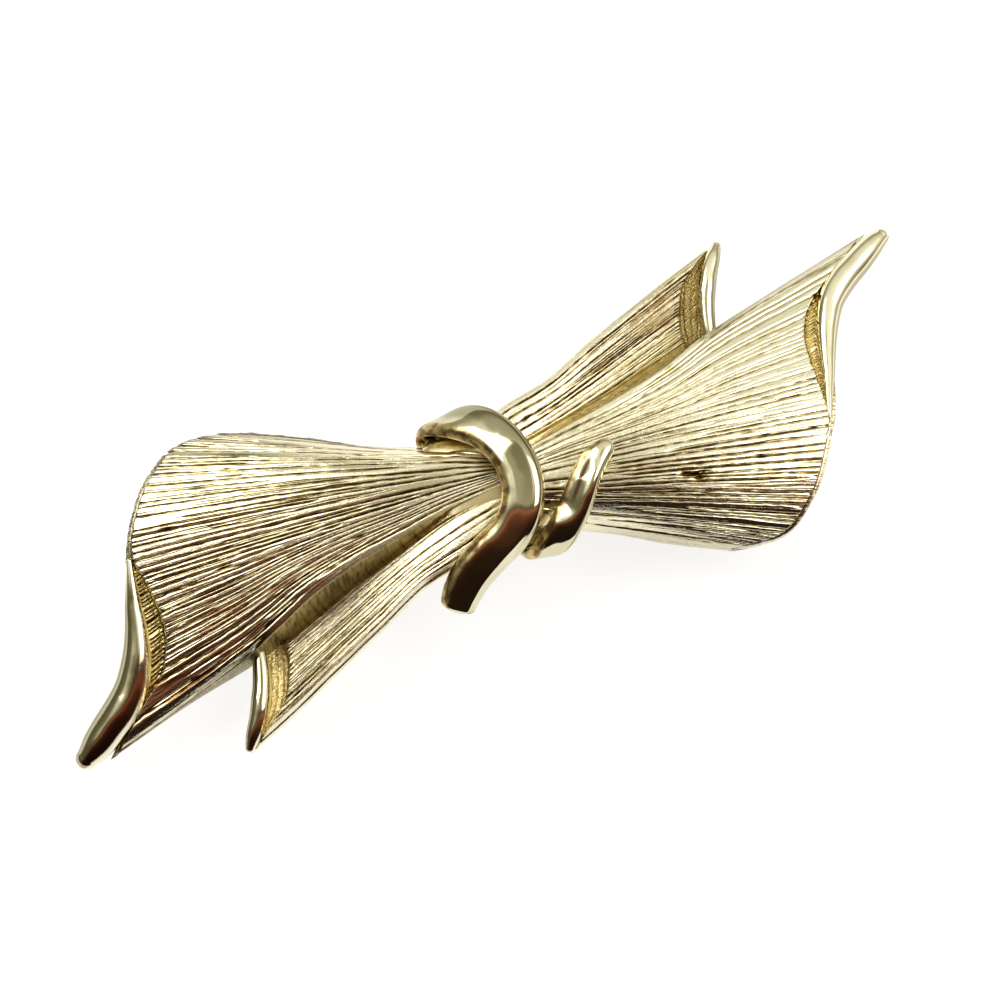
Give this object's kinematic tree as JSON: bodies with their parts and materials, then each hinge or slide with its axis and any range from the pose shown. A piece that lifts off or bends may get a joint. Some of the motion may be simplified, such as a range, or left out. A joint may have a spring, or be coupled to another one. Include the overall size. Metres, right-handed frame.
{
  "type": "bow brooch",
  "caption": "Cast gold-tone bow brooch with ribbed wings, rolled polished curls at the wing corners, a ribbon tie round the waist and a pin finding behind.",
  "frame": {"origin": "middle of the box's foot, on the surface that the pin finding rests on", "axes": "+X along the bow toward its right wing, +Y across the bow, +Z out of its face"},
  "size_m": [0.0698, 0.023, 0.0112],
  "materials": {
    "cast_gold": "gold-tone plated casting, textured face",
    "polished_gold": "gold-tone plated, polished",
    "finding_gold": "gold-tone plated, satin"
  },
  "bodies": {
    "root": {"bow": "cast_gold", "tie": "polished_gold", "pin_back": "finding_gold"}
  },
  "joints": []
}
